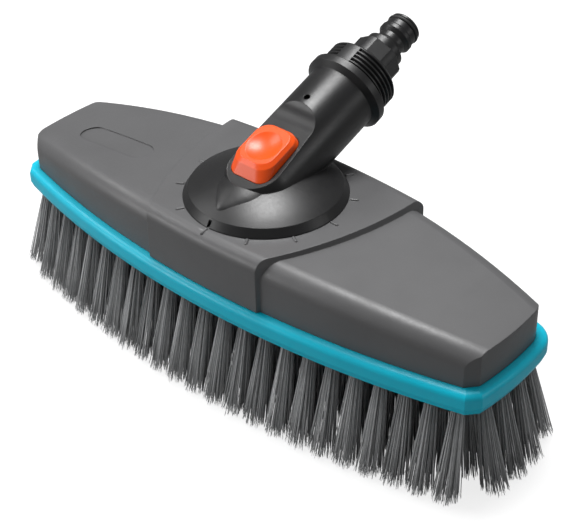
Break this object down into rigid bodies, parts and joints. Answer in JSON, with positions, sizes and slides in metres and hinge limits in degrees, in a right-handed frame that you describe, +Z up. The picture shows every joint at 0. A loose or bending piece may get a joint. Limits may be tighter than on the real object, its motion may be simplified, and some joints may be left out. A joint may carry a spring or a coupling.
{
  "type": "wash brush head",
  "caption": "Oblong water-fed wash brush head with a soft bumper, rows of bristle tufts and a tilted stem that swivels on an indexed disc with a release button.",
  "frame": {"origin": "on the swivel axis, in the plane of the bristle tips", "axes": "+Z up from the bristle tips along the swivel axis; +X along the head; the stem leans back towards +Y"},
  "size_m": [0.291, 0.1559, 0.1331],
  "materials": {
    "cover_grey": "satin moulded",
    "stem_black": "satin moulded",
    "bumper_turquoise": "satin soft moulding",
    "button_orange": "satin gloss",
    "plate_dark": "fine grain",
    "bristle_grey": "frayed filament",
    "seal_black": "matt",
    "acetal_white": "smooth",
    "steel": "drawn",
    "hose_grey": "smooth"
  },
  "bodies": {
    "head": {"head_cover": "cover_grey", "bumper": "bumper_turquoise", "bristle_plate": "plate_dark", "tuft_anchors": "steel", "chamber_seal": "seal_black", "plate_screws": "steel", "index_ring": "acetal_white", "thrust_washer": "acetal_white", "tufts_outer": "bristle_grey", "tufts_second": "bristle_grey", "tufts_third": "bristle_grey", "tufts_centre": "bristle_grey"},
    "stem": {"swivel_stem": "stem_black", "plug_connector": "stem_black", "nose_o_ring": "seal_black", "plug_retaining_ring": "steel", "water_tube": "hose_grey", "tube_clamps": "steel", "hub_retainer": "plate_dark", "retainer_screws": "steel", "hub_o_ring": "seal_black", "lever_pin": "steel", "bolt_spring": "steel", "button_spring": "steel"},
    "button": {"release_button": "button_orange"},
    "lever": {"latch_lever": "acetal_white"},
    "bolt": {"latch_bolt": "steel"}
  },
  "joints": [
    {"name": "swivel", "type": "hinge", "parent": "head", "child": "stem", "pos_m": [0, 0, 0.083], "axis": [0, 0, 1], "continuous": true},
    {"name": "button_press", "type": "slide", "parent": "stem", "child": "button", "axis": [0, 0.3955, -0.9184], "range_m": [0, 0.003], "stiffness_N_per_m": 60, "springref_m": -0.003, "deforming": ["button_spring"]},
    {"name": "lever_rock", "type": "hinge", "parent": "stem", "child": "lever", "pos_m": [0, -0.0166, 0.0853], "axis": [-1, 0, 0], "range_deg": [0, 15.4]},
    {"name": "bolt_lift", "type": "slide", "parent": "stem", "child": "bolt", "axis": [0, 0, 1], "range_m": [0, 0.0021], "deforming": ["bolt_spring"]}
  ],
  "couplings": [
    {"joint": "lever_rock", "follows": "button_press", "rad_per_m": 89},
    {"joint": "bolt_lift", "follows": "button_press", "ratio": 0.699}
  ]
}
